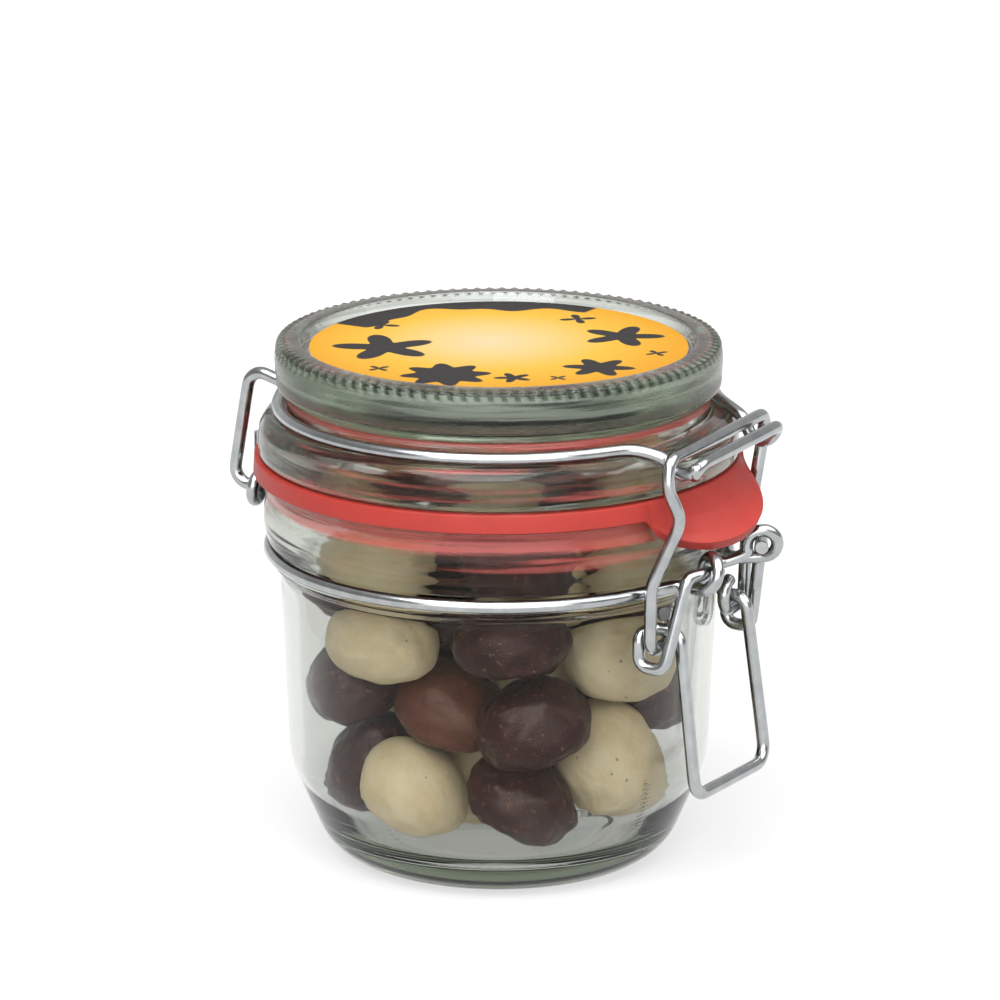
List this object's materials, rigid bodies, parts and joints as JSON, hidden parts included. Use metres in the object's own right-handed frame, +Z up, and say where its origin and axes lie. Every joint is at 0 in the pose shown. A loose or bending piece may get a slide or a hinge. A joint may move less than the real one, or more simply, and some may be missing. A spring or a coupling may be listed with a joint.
{
  "type": "clip-top jar of chocolate kruidnoten",
  "caption": "Round clip-top glass jar filled with chocolate-coated spiced biscuits, with a glass lid, a rubber ring and a bent wire clamp.",
  "frame": {"origin": "on the jar's axis, at the underside of its base", "axes": "+Z up along the jar's axis, +X towards the latch, -X towards the hinge"},
  "size_m": [0.1022, 0.0882, 0.0954],
  "materials": {
    "glass": "clear, with a faint green tint at thick edges",
    "label": "printed, satin",
    "rubber": "smooth red rubber",
    "wire": "bright zinc-plated wire",
    "chocolate": "chocolate coating, satin: white, milk and dark pieces"
  },
  "bodies": {
    "root": {"jar_glass": "glass", "lid_glass": "glass", "label": "label", "rubber_ring": "rubber", "neck_wire": "wire", "bail_wire": "wire", "link_wire": "wire", "lever_wire": "wire", "kruidnoten": "chocolate"}
  },
  "joints": []
}
